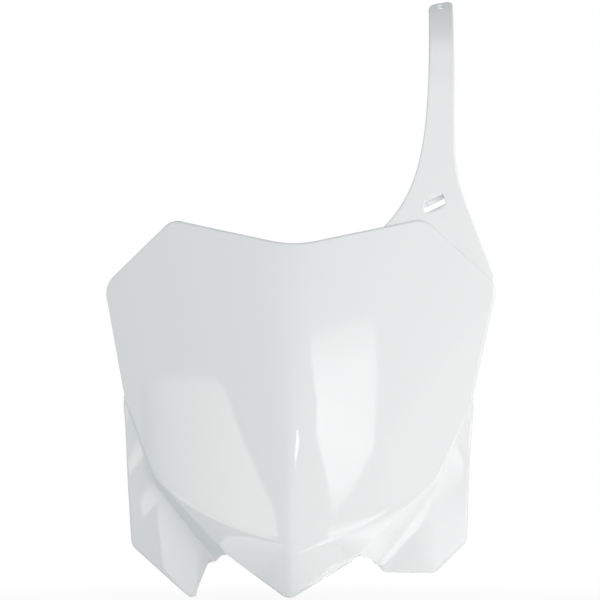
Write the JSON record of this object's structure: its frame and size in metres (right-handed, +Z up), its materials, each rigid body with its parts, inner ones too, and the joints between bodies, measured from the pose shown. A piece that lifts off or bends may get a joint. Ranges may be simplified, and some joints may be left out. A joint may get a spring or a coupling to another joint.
{
  "type": "racing number board",
  "caption": "Shield-shaped front number board for a motocross bike in white plastic, with a keel down its middle, side wings, a clamp bolt shelf and a strap that loops over the handlebar.",
  "frame": {"origin": "middle of the clamp bolt's hole, on the underside of the rear shelf", "axes": "+X to the right of someone facing the front of the board, +Y back towards the rider, +Z up"},
  "size_m": [0.2506, 0.0822, 0.3814],
  "materials": {
    "board": "gloss white, moulded through"
  },
  "bodies": {
    "root": {"number_board": "board"}
  },
  "joints": []
}
